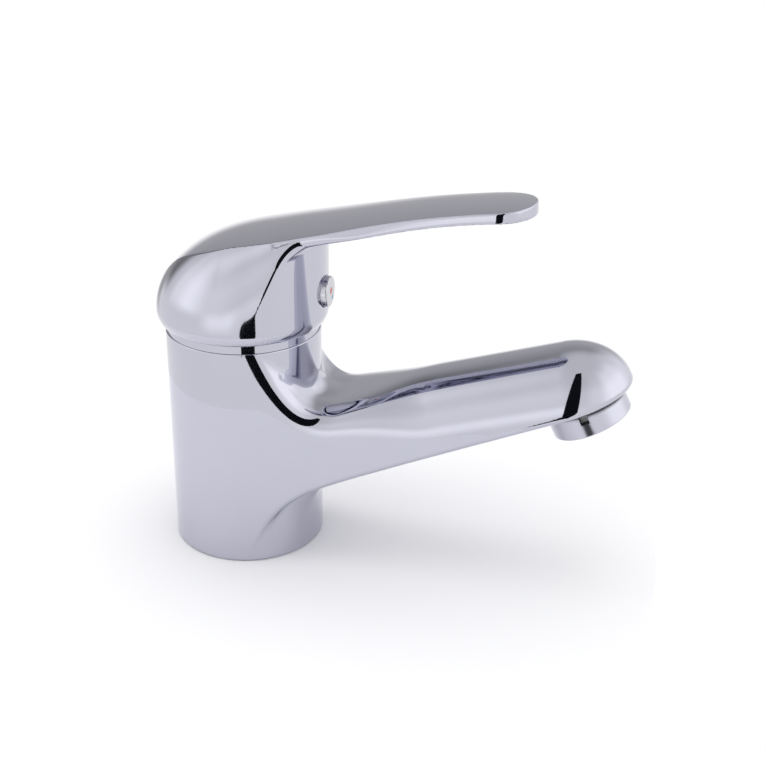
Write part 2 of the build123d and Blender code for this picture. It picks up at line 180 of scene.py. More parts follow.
@dataclass
class RoundUnion:
    """Two forms joined with a hollow rolled to a radius that may change from place to place."""

    first: Form
    second: Form
    radius: Callable[[Array], Array]

    def __call__(self, points: Array) -> Array:
        """Joins the two forms.

        Args:
            points: places, one per row.

        Returns:
            Signed distance of the joined form at each point.
        """
        to_first = self.first(points)
        to_second = self.second(points)
        joined = np.minimum(to_first, to_second)
        radius = self.radius(points)
        furthest = np.maximum(to_first, to_second)
        near = np.flatnonzero((furthest < 2.0 * radius) & (joined > -radius))
        if len(near):
            close = points[near]
            first = unit(slope_from(self.first, close, to_first[near]))
            second = unit(slope_from(self.second, close, to_second[near]))
            cosine = np.clip((first * second).sum(axis=1), -NEARLY_FLAT[1], NEARLY_FLAT[1])
            # faces that nearly run into each other need no roll
            roll = radius[near] * (1.0 - smooth_step(*NEARLY_FLAT, cosine))
            left = roll - to_first[near]
            right = roll - to_second[near]
            square = left * left + right * right - 2.0 * left * right * cosine
            length = np.sqrt(square / (1.0 - cosine ** 2))
            rolled = (left > right * cosine) & (right > left * cosine)
            joined[near] = np.where(rolled, np.minimum(joined[near], roll - length), joined[near])
        return joined


def round_cut(first: Form, second: Form, radius: Callable[[Array], Array]) -> Form:
    """What two forms share, with the edge between them rounded over.

    Args:
        first: one form.
        second: the other form.
        radius: the edge's radius at each point.

    Returns:
        The shared form.
    """
    outside = RoundUnion(lambda points: -first(points), lambda points: -second(points), radius)
    return lambda points: -outside(points)


def level(radius: float) -> Callable[[Array], Array]:
    """The same radius everywhere."""
    return lambda points: np.full(len(points), radius)


# Mesh tools


@dataclass
class Skin:
    """Points, outward normals and faces of one mesh, in millimetres."""

    points: Array
    normals: Array
    faces: list[tuple[int, ...]]

    @classmethod
    def of_form(cls, form: Form, low: Sequence[float], high: Sequence[float], step: float) -> "Skin":
        """Meshes a form's zero surface by surface nets, then pulls every point onto it.

        Args:
            form: signed distance, negative inside.
            low: lowest corner of the box to mesh.
            high: highest corner of the box.
            step: side of one cell.

        Returns:
            The skin, with normals from the form's slope.
        """
        values = narrow_band(form, low, high, step)
        inside = values < 0.0
        corners = [np.array((i, j, k)) for i in (0, 1) for j in (0, 1) for k in (0, 1)]
        shape = np.array(values.shape)
        full = np.zeros(shape - 1, np.int8)
        for corner in corners:
            window = tuple(slice(c, c + n) for c, n in zip(corner, shape - 1))
            full += inside[window]
        mixed = (full > 0) & (full < len(corners))
        cells = np.argwhere(mixed)
        number = np.full(mixed.shape, -1)
        number[mixed] = np.arange(len(cells))
        total = np.zeros((len(cells), 3))
        count = np.zeros(len(cells))
        for start in corners:
            for end in corners:
                if (end - start).sum() != 1 or (end < start).any():
                    continue
                here = values[tuple((cells + start).T)]
                there = values[tuple((cells + end).T)]
                crossed = (here < 0.0) != (there < 0.0)
                share = np.where(crossed, here / np.where(crossed, here - there, 1.0), 0.0)
                total += np.where(crossed[:, None], start + share[:, None] * (end - start), 0.0)
                count += crossed
        points = np.array(low) + step * (cells + total / count[:, None])
        quads = np.concatenate([cls._quads(inside, number, axis) for axis in range(3)])
        skin = cls(points, np.empty_like(points), [tuple(q) for q in quads.tolist()])
        skin.settle(form, np.arange(len(points)))
        skin.mend(quads)
        return skin

    @staticmethod
    def _quads(inside: Array, number: Array, axis: int) -> Array:
        """Finds the four cells round every grid edge along one axis that crosses the surface.

        Args:
            inside: which grid points lie inside.
            number: the point number of each cell, or -1.
            axis: the edges' axis.

        Returns:
            Four point numbers per face, turned outward.
        """
        second, third = (other for other in range(3) if other != axis)
        start = np.moveaxis(inside, axis, 0)[:-1]
        end = np.moveaxis(inside, axis, 0)[1:]
        edges = np.argwhere(start != end)
        leaving = start[tuple(edges.T)]
        places = np.empty_like(edges)
        for column, other in enumerate((axis, second, third)):
            places[:, other] = edges[:, column]
        keep = np.ones(len(places), bool)
        for other in (second, third):
            keep &= (places[:, other] > 0) & (places[:, other] < inside.shape[other] - 1)
        places = places[keep]
        leaving = leaving[keep]
        ring = []
        for back in ((1, 1), (0, 1), (0, 0), (1, 0)):
            cell = places.copy()
            cell[:, (second, third)] -= back
            ring.append(number[tuple(cell.T)])
        quads = np.stack(ring, axis=1)
        turned = leaving == (axis == 1)
        quads[turned] = quads[turned][:, ::-1]
        return quads

    def settle(self, form: Form, which: Array, rounds: int = 3) -> None:
        """Moves points onto a form's surface and takes their normals from its slope.

        Args:
            form: signed distance.
            which: the points' numbers.
            rounds: how many times to step along the slope.
        """
        points = self.points[which]
        for _ in range(rounds):
            values = form(points)
            slope = slope_from(form, points, values)
            square = np.maximum((slope ** 2).sum(axis=1), LEAST_SLOPE)
            points = points - slope * (values / square)[:, None]
        self.points[which] = points
        self.normals[which] = unit(gradient(form, points))

    def mend(self, quads: Array, agree: float = 0.985, stray: float = 0.9) -> None:
        """Evens out the few points whose slope disagrees with the faces round them.

        Args:
            quads: the faces' point numbers.
            agree: a smaller cosine takes the faces' own direction.
            stray: a smaller cosine also moves the point between its neighbours.
        """
        corner = self.points[quads]
        facing = np.cross(corner[:, 2] - corner[:, 0], corner[:, 3] - corner[:, 1])
        own = np.zeros_like(self.points)
        around = np.zeros_like(self.points)
        count = np.zeros((len(self.points), 1))
        for k in range(4):
            np.add.at(own, quads[:, k], facing)
            np.add.at(around, quads[:, k], corner[:, (k + 1) % 4] + corner[:, (k + 3) % 4])
            np.add.at(count, quads[:, k], 2.0)
        own = unit(own)
        cosine = (own * self.normals).sum(axis=1)
        odd = cosine < agree
        lost = cosine < stray
        self.normals[odd] = own[odd]
        self.points[lost] = around[lost] / count[lost]

    def trim(self, form: Form, keep: Form, rounds: int = 4) -> Array:
        """Cuts the skin where a second form changes sign.

        Args:
            form: the skin's own form.
            keep: positive on the side that stays.
            rounds: how many times the cut's points are moved back onto both forms.

        Returns:
            The numbers of the new points along the cut.
        """
        side = keep(self.points)
        faces = []
        made: dict[tuple[int, int], int] = {}
        fresh: list[Array] = []
        first = len(self.points)
        for face in self.faces:
            if all(side[i] >= 0.0 for i in face):
                faces.append(face)
                continue
            if all(side[i] < 0.0 for i in face):
                continue
            outline = []
            for i, j in zip(face, face[1:] + face[:1]):
                if side[i] >= 0.0:
                    outline.append(i)
                if (side[i] >= 0.0) != (side[j] >= 0.0):
                    key = (min(i, j), max(i, j))
                    if key not in made:
                        made[key] = first + len(fresh)
                        share = side[i] / (side[i] - side[j])
                        fresh.append(self.points[i] + share * (self.points[j] - self.points[i]))
                    outline.append(made[key])
            faces.append(tuple(outline))
        self.faces = faces
        cut = self.add_points(np.array(fresh), np.zeros((len(fresh), 3)))
        for _ in range(rounds):
            slope = gradient(keep, self.points[cut])
            back = keep(self.points[cut]) / np.maximum((slope ** 2).sum(axis=1), 1e-3)
            self.points[cut] -= slope * back[:, None]
            self.settle(form, cut, rounds=1)
        return cut

    def by_turn(self, numbers: Array, origin: Array, right: Array, ahead: Array) -> Array:
        """Point numbers sorted by their turn about an axis.

        Args:
            numbers: the numbers to sort.
            origin: a place on the axis.
            right: first direction across the axis.
            ahead: second direction across the axis.

        Returns:
            The sorted numbers.
        """
        arm = self.points[numbers] - origin
        return numbers[np.argsort(np.arctan2(arm @ ahead, arm @ right))]

    def add_points(self, points: Array, normals: Array) -> Array:
        """Adds loose points.

        Args:
            points: their places.
            normals: their outward directions.

        Returns:
            The new points' numbers.
        """
        first = len(self.points)
        self.points = np.concatenate([self.points, points])
        self.normals = np.concatenate([self.normals, normals])
        return np.arange(first, len(self.points))

    def add_rows(self, loop: Array, rows: Sequence[tuple[Array, Array]]) -> Array:
        """Carries a closed loop of points on through rows of new points.

        Args:
            loop: numbers of the loop's points, in order.
            rows: (points, normals) of each new row, in the loop's order.

        Returns:
            The numbers of the last row's points.
        """
        for points, normals in rows:
            row = self.add_points(points, normals)
            after = np.roll(loop, -1)
            next_row = np.roll(row, -1)
            quads = np.stack([loop, after, next_row, row], axis=1)
            corner = self.points[quads]
            facing = np.cross(corner[:, 2] - corner[:, 0], corner[:, 3] - corner[:, 1])
            wrong = (facing * self.normals[quads].sum(axis=1)).sum(axis=1).sum() < 0.0
            self.faces += [tuple(q[::-1]) if wrong else tuple(q) for q in quads.tolist()]
            loop = row
        return loop

    def round_over(self, loop: Array, onward: Array, inward: Array, radius: float, steps: int = 5) -> Array:
        """Rolls an open edge over through a right angle.

        Args:
            loop: numbers of the edge's points, in order.
            onward: for each, the way the surface runs off the edge.
            inward: for each, the way it runs after the turn.
            radius: the roll's radius.
            steps: rows round the turn.

        Returns:
            The numbers of the last row's points.
        """
        points = self.points[loop]
        normals = self.normals[loop]
        rows = []
        for step in range(1, steps + 1):
            turn = math.pi / 2.0 * step / steps
            place = points + radius * (onward * math.sin(turn) + inward * (1.0 - math.cos(turn)))
            rows.append((place, unit(normals * math.cos(turn) + onward * math.sin(turn))))
        return self.add_rows(loop, rows)

    def close(self, loop: Array, point: Array, normal: Array) -> None:
        """Closes a loop with a fan to one point.

        Args:
            loop: numbers of the loop's points, in order.
            point: the fan's middle.
            normal: the outward direction there.
        """
        tip = self.add_points(point[None], normal[None])[0]
        after = np.roll(loop, -1)
        corner = self.points[loop]
        facing = np.cross(self.points[after] - corner, point - corner).sum(axis=0)
        wrong = facing @ normal < 0.0
        fans = np.stack([loop, after, np.full(len(loop), tip)], axis=1).tolist()
        self.faces += [tuple(f[::-1]) if wrong else tuple(f) for f in fans]

    def build(self, name: str, finish: "Finish", body: str) -> bpy.types.Object:
        """Writes the mesh, without points that nothing uses, and rides it on a body.

        Args:
            name: the piece's name.
            finish: its finish.
            body: the frame body that carries it.

        Returns:
            The new object.
        """
        used = np.unique([i for face in self.faces for i in face])
        number = np.full(len(self.points), -1)
        number[used] = np.arange(len(used))
        faces = [tuple(number[i] for i in face) for face in self.faces]
        mesh = bpy.data.meshes.new(name)
        mesh.from_pydata((self.points[used] * MM).tolist(), [], faces)
        mesh.shade_smooth()
        mesh.normals_split_custom_set_from_vertices(self.normals[used].tolist())
        piece = add_object(name, mesh)
        finish.dress(piece)
        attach(piece, body)
        LOG.info("%s: %d faces on %s", name, len(faces), body)
        return piece


def add_object(name: str, data: bpy.types.ID) -> bpy.types.Object:
    """Makes an object of some data and puts it in the scene.

    Args:
        name: the object's name.
        data: its mesh, camera or light.

    Returns:
        The object.
    """
    thing = bpy.data.objects.new(name, data)
    bpy.context.scene.collection.objects.link(thing)
    return thing


def narrow_band(form: Form, low: Sequence[float], high: Sequence[float], step: float) -> Array:
    """Values of a form on a grid, exact near its surface and rough elsewhere.

    Args:
        form: signed distance.
        low: the grid's first point.
        high: where the grid may end.
        step: distance between grid points.

    Returns:
        A 3-D array of values.
    """
    # cells are tried in groups, by their middle
    group = 4
    width = step * group
    reach = 1.2 * width
    counts = [int(math.ceil((end - start) / width)) for start, end in zip(low, high)]
    middle = [start + width * (np.arange(n) + 0.5) - step / 2.0 for start, n in zip(low, counts)]
    places = np.stack(np.meshgrid(*middle, indexing="ij"), axis=-1).reshape(-1, 3)
    values = form(places).reshape(counts)
    for axis in range(3):
        values = np.repeat(values, group, axis=axis)
    close = np.argwhere(np.abs(values) < reach)
    values[tuple(close.T)] = form(np.array(low) + step * close)
    return values


# Finishes


def linear(colour: str) -> tuple[float, float, float, float]:
    """Turns an sRGB hex colour to linear.

    Args:
        colour: six hex digits after a hash.

    Returns:
        Red, green, blue and an alpha of one.
    """
    parts = [int(colour[i:i + 2], 16) / 255.0 for i in (1, 3, 5)]
    red, green, blue = (c / 12.92 if c <= 0.04045 else ((c + 0.055) / 1.055) ** 2.4 for c in parts)
    return red, green, blue, 1.0


def add_node(
    tree: bpy.types.NodeTree, kind: str, inputs: dict[str | int, object] | None = None, **settings: object
) -> bpy.types.Node:
    """Adds a node with its settings and links.

    Args:
        tree: the node tree.
        kind: the node's type name.
        inputs: input name or number to a value, or to a socket to link from.
        settings: the node's own properties.

    Returns:
        The node.
    """
    node = tree.nodes.new(kind)
    for name, value in settings.items():
        setattr(node, name, value)
    for name, value in (inputs or {}).items():
        if isinstance(value, bpy.types.NodeSocket):
            tree.links.new(value, node.inputs[name])
        else:
            node.inputs[name].default_value = value
    return node


class Pattern(Enum):
    """How a surface was made, which sets the pattern that breaks up its sheen."""

    POLISHED = "polished"
    MOULDED = "moulded"
    TURNED = "turned"
    WOVEN = "woven"


@dataclass(frozen=True)
class Finish:
    """One material, the way its surface was made and the reach of its painted shade in slots; grain, depth
    and recess are in millimetres.
    """

    # the wave texture turns this many radians per unit, so that a ring is about six grains wide
    WAVE_RATE: ClassVar[float] = 20.0
    WAVE_WOBBLE: ClassVar[float] = 0.6
    POLISHED_DETAIL: ClassVar[float] = 2.0
    MOULDED_DETAIL: ClassVar[float] = 6.0
    # painted shade: a slot is painted dark where less than the first share of the sky is open, and clear
    # above the second
    PAINTED_SHADE_COLOUR: ClassVar[str] = "#0c0c0e"
    PAINTED_SHADE_OPEN: ClassVar[Span] = (0.8, 0.97)
    PAINTED_SHADE_LEAST: ClassVar[float] = 0.03

    name: str
    slot: str
    # colour and roughness run between two values each, as the pattern does
    colour: str
    shade: str
    metallic: float
    smooth: float
    rough: float
    grain: float
    depth: float
    pattern: Pattern
    recess: float = 0.0

    def material(self) -> bpy.types.Material:
        """The finish's material, made once."""
        found = bpy.data.materials.get(self.name)
        return found or self._make()

    def _make(self) -> bpy.types.Material:
        """Builds the node tree: a pattern drives colour, roughness and a shallow bump.

        Returns:
            The new material.
        """
        material = bpy.data.materials.new(self.name)
        material.use_nodes = True
        tree = material.node_tree
        shader = tree.nodes["Principled BSDF"]
        shader.inputs["Metallic"].default_value = self.metallic
        place = add_node(tree, "ShaderNodeTexCoord").outputs["Object"]
        pattern = self._pattern(tree, place)
        colour = add_node(
            tree, "ShaderNodeMix", {"Factor": pattern, 6: linear(self.colour), 7: linear(self.shade)},
            data_type="RGBA",
        )
        sheen = add_node(
            tree, "ShaderNodeMapRange", {"Value": pattern, "To Min": self.smooth, "To Max": self.rough}
        )
        bump = add_node(
            tree, "ShaderNodeBump", {"Height": pattern, "Distance": self.depth * MM, "Strength": 1.0}
        )
        # the base colour carries painted shade in slots where the finish has a recess
        tree.links.new(self._painted_shade(tree, colour.outputs[2]), shader.inputs["Base Color"])
        tree.links.new(sheen.outputs["Result"], shader.inputs["Roughness"])
        tree.links.new(bump.outputs["Normal"], shader.inputs["Normal"])
        return material

    def _painted_shade(self, tree: bpy.types.NodeTree, colour: bpy.types.NodeSocket) -> bpy.types.NodeSocket:
        """Paints shade into a colour: darkens it where surfaces closer than the recess keep light out.

        Args:
            tree: the node tree.
            colour: the open surface's colour.

        Returns:
            The colour with painted shade in its slots.
        """
        if not self.recess:
            return colour
        # painted shade: ambient occlusion darkens the base colour towards near black in slots
        sky = add_node(tree, "ShaderNodeAmbientOcclusion", {"Distance": self.recess * MM}).outputs["AO"]
        closed, opened = self.PAINTED_SHADE_OPEN
        share = add_node(
            tree, "ShaderNodeMapRange",
            {"Value": sky, "From Min": closed, "From Max": opened, "To Min": self.PAINTED_SHADE_LEAST},
        ).outputs["Result"]
        mix = add_node(
            tree, "ShaderNodeMix", {"Factor": share, 6: linear(self.PAINTED_SHADE_COLOUR), 7: colour}, data_type="RGBA"
        )
        return mix.outputs[2]

    def _pattern(self, tree: bpy.types.NodeTree, place: bpy.types.NodeSocket) -> bpy.types.NodeSocket:
        """Draws the pattern at a scale set by its grain.

        Args:
            tree: the node tree.
            place: the piece's own coordinates, in metres.

        Returns:
            A value from 0 to 1.
        """
        per_metre = 1.0 / (self.grain * MM)
        if self.pattern is Pattern.TURNED:
            wave = add_node(
                tree, "ShaderNodeTexWave",
                {"Vector": place, "Scale": per_metre / self.WAVE_RATE, "Distortion": self.WAVE_WOBBLE},
                wave_type="RINGS", rings_direction="Z",
            )
            return wave.outputs["Fac"]
        if self.pattern is Pattern.WOVEN:
            check = add_node(tree, "ShaderNodeTexChecker", {"Vector": place, "Scale": per_metre})
            return check.outputs["Fac"]
        detail = self.POLISHED_DETAIL if self.pattern is Pattern.POLISHED else self.MOULDED_DETAIL
        noise = add_node(
            tree, "ShaderNodeTexNoise", {"Vector": place, "Scale": per_metre, "Detail": detail}
        )
        return noise.outputs["Fac"]

    def dress(self, piece: bpy.types.Object) -> None:
        """Puts the material on a piece.

        Args:
            piece: the object to dress.
        """
        piece.data.materials.clear()
        piece.data.materials.append(self.material())


# Bright chrome over polished brass: a clear mirror with a faint orange-peel swell.
CHROME = Finish(
    "bright_chrome_plate", "chrome_plate", "#c4c4d0", "#c0c0cd", metallic=1.0,
    smooth=0.03, rough=0.06, grain=14.0, depth=0.0015, pattern=Pattern.POLISHED)
# Satin chrome on the plug: blurred reflections, a less blue grey than the bright plate.
SATIN = Finish(
    "satin_chrome_plate", "button_plate", "#c9c9cf", "#c3c3ca", metallic=1.0,
    smooth=0.12, rough=0.16, grain=3.0, depth=0.0008, pattern=Pattern.POLISHED)
# The outlet ring: the colour of the bright plate, polished less, with painted shade in the spanner slots.
RING = Finish(
    "bright_chrome_ring", "chrome_plate", "#c4c4d0", "#c0c0cd", metallic=1.0,
    smooth=0.16, rough=0.22, grain=9.0, depth=0.001, pattern=Pattern.POLISHED, recess=2.2)
# Turned brass: warm yellow with tool rings, drawn coarser than real so that they show.
NUT_BRASS = Finish(
    "turned_brass_nut", "nut_brass", "#c9a45c", "#b48b42", metallic=1.0,
    smooth=0.22, rough=0.36, grain=0.5, depth=0.01, pattern=Pattern.TURNED)
STEM_BRASS = Finish(
    "turned_brass_stem", "spindle_brass", "#c4a05a", "#a98440", metallic=1.0,
    smooth=0.25, rough=0.4, grain=0.5, depth=0.01, pattern=Pattern.TURNED)
# Moulded nylon: off-white with a soft, slightly grainy sheen.
NYLON = Finish(
    "moulded_white_nylon", "housing_nylon", "#e4e3de", "#d6d5cf", metallic=0.0,
    smooth=0.38, rough=0.5, grain=0.8, depth=0.01, pattern=Pattern.MOULDED)
# Moulded black acetal: dark, slippery plastic with a low sheen.
BLACK_ACETAL = Finish(
    "moulded_black_acetal", "carrier_acetal", "#2b2d31", "#1f2124", metallic=0.0,
    smooth=0.3, rough=0.42, grain=0.8, depth=0.01, pattern=Pattern.MOULDED)
# Moulded grey acetal: the aerator's cup, pale and matte.
GREY_ACETAL = Finish(
    "moulded_grey_acetal", "insert_acetal", "#b9bdc0", "#a6abaf", metallic=0.0,
    smooth=0.35, rough=0.5, grain=0.7, depth=0.01, pattern=Pattern.MOULDED)
# Moulded nitrile rubber: near black and dull, with a fine bloom.
RUBBER = Finish(
    "moulded_nitrile_rubber", "seal_rubber", "#1d1d1e", "#2a2a2b", metallic=0.0,
    smooth=0.62, rough=0.8, grain=0.5, depth=0.015, pattern=Pattern.MOULDED)
# Lapped alumina ceramic: ivory and very smooth.
CERAMIC = Finish(
    "lapped_alumina", "disc_ceramic", "#f0ede4", "#e6e2d6", metallic=0.0,
    smooth=0.08, rough=0.14, grain=1.5, depth=0.001, pattern=Pattern.MOULDED)
# Ground steel: grey with grinding marks, drawn coarser than real so that they show.
STEEL = Finish(
    "ground_steel", "pin_steel", "#b4b5b8", "#9b9ca0", metallic=1.0,
    smooth=0.2, rough=0.34, grain=0.4, depth=0.008, pattern=Pattern.TURNED)
# Woven steel gauze, with the wires drawn coarser than real so that they show.
GAUZE = Finish(
    "woven_steel_gauze", "screen_steel", "#a9aaad", "#4c4d50", metallic=1.0,
    smooth=0.25, rough=0.5, grain=0.8, depth=0.1, pattern=Pattern.WOVEN)
# Baked enamel dots: saturated, glossy colour with a slight mottle.
RED_ENAMEL = Finish(
    "baked_red_enamel", "red_enamel", "#c8202c", "#b01824", metallic=0.0,
    smooth=0.15, rough=0.22, grain=0.6, depth=0.004, pattern=Pattern.MOULDED)
BLUE_ENAMEL = Finish(
    "baked_blue_enamel", "blue_enamel", "#2f7fa6", "#256f95", metallic=0.0,
    smooth=0.15, rough=0.22, grain=0.6, depth=0.004, pattern=Pattern.MOULDED)


# The casting: drum, spout and nose


@dataclass
class Outlet:
    """The tilted axis on which the aerator sits."""

    reach: float = 106.7
    height: float = 51.3
    tilt: float = 27.2
    origin: Array = field(init=False)
    ahead: Array = field(init=False)
    up: Array = field(init=False)

    def __post_init__(self) -> None:
        """Works out the axis and the direction across it."""
        turn = math.radians(self.tilt)
        self.origin = np.array((self.reach, 0.0, self.height))
        self.ahead = np.array((math.cos(turn), 0.0, math.sin(turn)))
        self.up = np.array((-math.sin(turn), 0.0, math.cos(turn)))

    def split(self, points: Array) -> tuple[Array, Array, Array]:
        """Distances ahead of the axis, to the left and up along it."""
        arm = points - self.origin
        return arm @ self.ahead, points[:, 1], arm @ self.up


@dataclass
class Casting:
    """The plated body: a drum that flows into a rising spout with an egg-shaped nose."""

    # drum
    radius: float = 23.5
    height: float = 70.0
    base_round: float = 1.0
    seam_round: float = 0.4
    seam_ledge: float = 3.0
    seam_clear: float = 1.0
    # nose, in the outlet's axes; a roundness of one is a ball, less is longer ahead
    ball_radius: float = 16.2
    ball_level: float = 8.6
    nose_start: float = -3.6
    nose_roundness: float = 0.833
    nose_lean: float = 0.27
    # spout: slopes of its middle and of its crown, which sags towards the drum
    middle_slope: float = 0.178
    crown_slope: float = 0.175
    crown_share: float = 1.018
    crown_sag: float = 2.4
    sag_run: Span = (-35.0, -75.0)
    # root: the section squares up and its shoulders climb the drum's sides
    root_squareness: float = 6.0
    square_run: Span = (-40.0, -95.0)
    shoulder: float = 34.0
    shoulder_rise: float = 92.0
    shoulder_power: float = 2.5
    crest_share: float = 0.35
    crest_run: Span = (6.0, 17.0)
    root: float = 3.0
    root_steepness: float = 3.0
    foot: float = 6.0
    foot_steepness: float = 0.6
    # hollows between drum and spout, and the spout's lower edge
    top_blend: float = 7.0
    low_blend: float = 26.0
    side_blend: float = 10.0
    arch_blend: float = 3.0
    side_turn: Span = (0.05, 0.5)
    arch_turn: Span = (0.6, 1.0)
    blend_run: Span = (3.0, 12.0)
    edge_round: float = 2.0
    # underside: the groove's two radii and depth, and each hole's place, radius and depth
    groove: tuple[float, float, float] = (18.5, 21.5, 2.0)
    holes: tuple[tuple[float, float, float, float], ...] = (
        (5.0, 6.2, 4.5, 14.0), (5.0, -6.2, 4.5, 14.0), (-12.0, 0.0, 3.4, 12.0))
    hole_edge: float = 0.3
    hole_sides: int = 40
    # outlet
    outlet_bore: float = 12.3
    outlet_depth: float = 9.2
    outlet_edge: float = 0.3
    outlet: Outlet = field(default_factory=Outlet)
    # mesh: its cells, and the room left round the form
    cell: float = 0.62
    margin: float = 2.0
    room_below: float = 3.0
    room_ahead: float = 14.0
    room_above: float = 8.0
    width_line: Spline = field(default_factory=lambda: Spline(
        [(-4.0, 23.3), (0.0, 23.4), (4.0, 23.1), (8.0, 22.3), (12.0, 21.4), (24.0, 19.3), (36.0, 17.9),
         (47.0, 17.0), (60.0, 16.5), (80.0, 16.3), (100.0, 16.2), (125.0, 16.2)]))
    keel_line: Spline = field(default_factory=lambda: Spline(
        [(-122.0, -14.0), (-112.0, -1.5), (-104.0, 6.4), (-96.0, 11.2), (-88.0, 13.1), (-77.0, 13.1),
         (-64.0, 12.1), (-42.0, 10.5), (-17.0, 8.8), (0.0, 7.6), (16.0, 6.4)]))

    def drum(self, points: Array) -> Array:
        """The upright round wall, without ends."""
        return np.hypot(points[:, 0], points[:, 1]) - self.radius

    def lift(self, ahead: Array | float, up: Array) -> Array:
        """Height above the spout's middle line."""
        return up - (self.ball_level - self.middle_slope * ahead)

    def ball(self, points: Array) -> Array:
        """The nose: an egg above its middle, upright below it.

        Args:
            points: places, one per row.

        Returns:
            A value that is 0 on the surface and negative inside.
        """
        ahead, side, up = self.outlet.split(points)
        along = self.nose_roundness * (ahead - self.nose_start)
        rise = np.maximum(self.lift(self.nose_start, up), 0.0)
        return np.sqrt(along ** 2 + side ** 2 + rise ** 2) - self.ball_radius

    def tube(self, points: Array) -> Array:
        """The spout's round crown and upright flanks, which run into the drum's sides at the root.

        Args:
            points: places, one per row.

        Returns:
            A value that is 0 on the surface and negative inside.
        """
        ahead, side, up = self.outlet.split(points)
        crown = self.crown_share * self.ball_radius + (self.middle_slope - self.crown_slope) * ahead
        crown -= self.crown_sag * smooth_step(*self.sag_run, ahead)
        # the shoulders climb the drum's sides up to the seam
        near = np.clip(self.shoulder - points[:, 0], 0.0, self.shoulder) / self.shoulder
        crest = self.crest_share + (1.0 - self.crest_share) * smooth_step(*self.crest_run, np.abs(side))
        crown += self.shoulder_rise * near ** self.shoulder_power * crest
        power = 2.0 + self.root_squareness * smooth_step(*self.square_run, ahead)
        rise = np.maximum(self.lift(ahead, up), 0.0)
        reach = 1.0 + superellipse(side / self.width_line(points[:, 0]), rise / crown, power)
        behind = np.maximum(self.root - points[:, 0], 0.0)
        beneath = np.maximum(self.foot - points[:, 2], 0.0)
        away = self.root_steepness * behind + self.foot_steepness * beneath
        return np.hypot(side, rise) * (1.0 - 1.0 / reach) + away

    def keel(self, points: Array) -> Array:
        """The spout's underside, an arch that comes down to the drum's foot."""
        ahead, _, up = self.outlet.split(points)
        return (self.keel_line(ahead) - up) / np.hypot(1.0, self.keel_line.slope(ahead))

    def arm(self, points: Array) -> Array:
        """Spout and nose, which change over along a leaning line.

        Args:
            points: places, one per row.

        Returns:
            A value that is 0 on the surface and negative inside.
        """
        ahead, _, up = self.outlet.split(points)
        change = self.nose_start + self.nose_lean * np.maximum(self.lift(self.nose_start, up), 0.0)
        return np.where(ahead > change, self.ball(points), self.tube(points))

    def blend(self, points: Array) -> Array:
        """Radius of the hollow between drum and spout: wide below, tight beside the arch, none behind.

        Args:
            points: places, one per row.

        Returns:
            The radius at each place.
        """
        ahead, side, up = self.outlet.split(points)
        lift = self.lift(ahead, up)
        turn = side ** 2 / (side ** 2 + lift ** 2 + 1e-6)
        share = smooth_step(*self.side_turn, turn)
        above = self.top_blend + (self.side_blend - self.top_blend) * share
        above += (self.arch_blend - above) * smooth_step(*self.arch_turn, turn)
        below = self.low_blend + (self.arch_blend - self.low_blend) * share
        return np.where(lift > 0.0, above, below) * smooth_step(*self.blend_run, points[:, 0]) + LEAST_ROUND

    def build(self) -> None:
        """Meshes the outside, rolls its open edges over and finishes the base and the outlet."""
        spout = round_cut(self.arm, self.keel, level(self.edge_round))
        form = RoundUnion(self.drum, spout, self.blend)
        side = self.radius + self.margin
        low = (-side, -side, -self.room_below)
        high = (self.outlet.reach + self.room_ahead, side, self.height + self.room_above)
        skin = Skin.of_form(form, low, high, self.cell)
        self._top(skin, form)
        self._base(skin, form)
        self._outlet(skin, form)
        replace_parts(skin.build("body_casting", CHROME, "base"), "body")

    def _top(self, skin: Skin, form: Form) -> None:
        """Rolls the seam edge over and carries it in under the trim ring.

        Args:
            skin: the casting's skin.
            form: the form it was meshed from.
        """
        seam = self.height - self.seam_round
        reach = self.radius + self.seam_clear

        def keep(points: Array) -> Array:
            """Everything below the seam, and the spout ahead of the drum."""
            return np.maximum(seam - points[:, 2], points[:, 0] - reach)

        cut = skin.by_turn(skin.trim(form, keep), np.zeros(3), X_AXIS, Y_AXIS)
        flat = unit(skin.normals[cut] * FLAT)
        up = rows_of(Z_AXIS, len(cut))
        loop = skin.round_over(cut, up, -flat, self.seam_round)
        skin.add_rows(loop, [(skin.points[loop] - self.seam_ledge * flat, up)])

    def _base(self, skin: Skin, form: Form) -> None:
        """Rolls the base edge over and closes the underside.

        Args:
            skin: the casting's skin.
            form: the form it was meshed from.
        """

        def keep(points: Array) -> Array:
            """Everything above the base edge."""
            return points[:, 2] - self.base_round

        cut = skin.by_turn(skin.trim(form, keep), np.zeros(3), X_AXIS, Y_AXIS)
        flat = unit(skin.points[cut] * FLAT)
        # down here the drum is alone, so the edge is a true circle
        skin.points[cut] = self.radius * flat + self.base_round * Z_AXIS
        skin.normals[cut] = flat
        loop = skin.round_over(cut, rows_of(-Z_AXIS, len(cut)), -flat, self.base_round)
        self._underside(skin, loop)

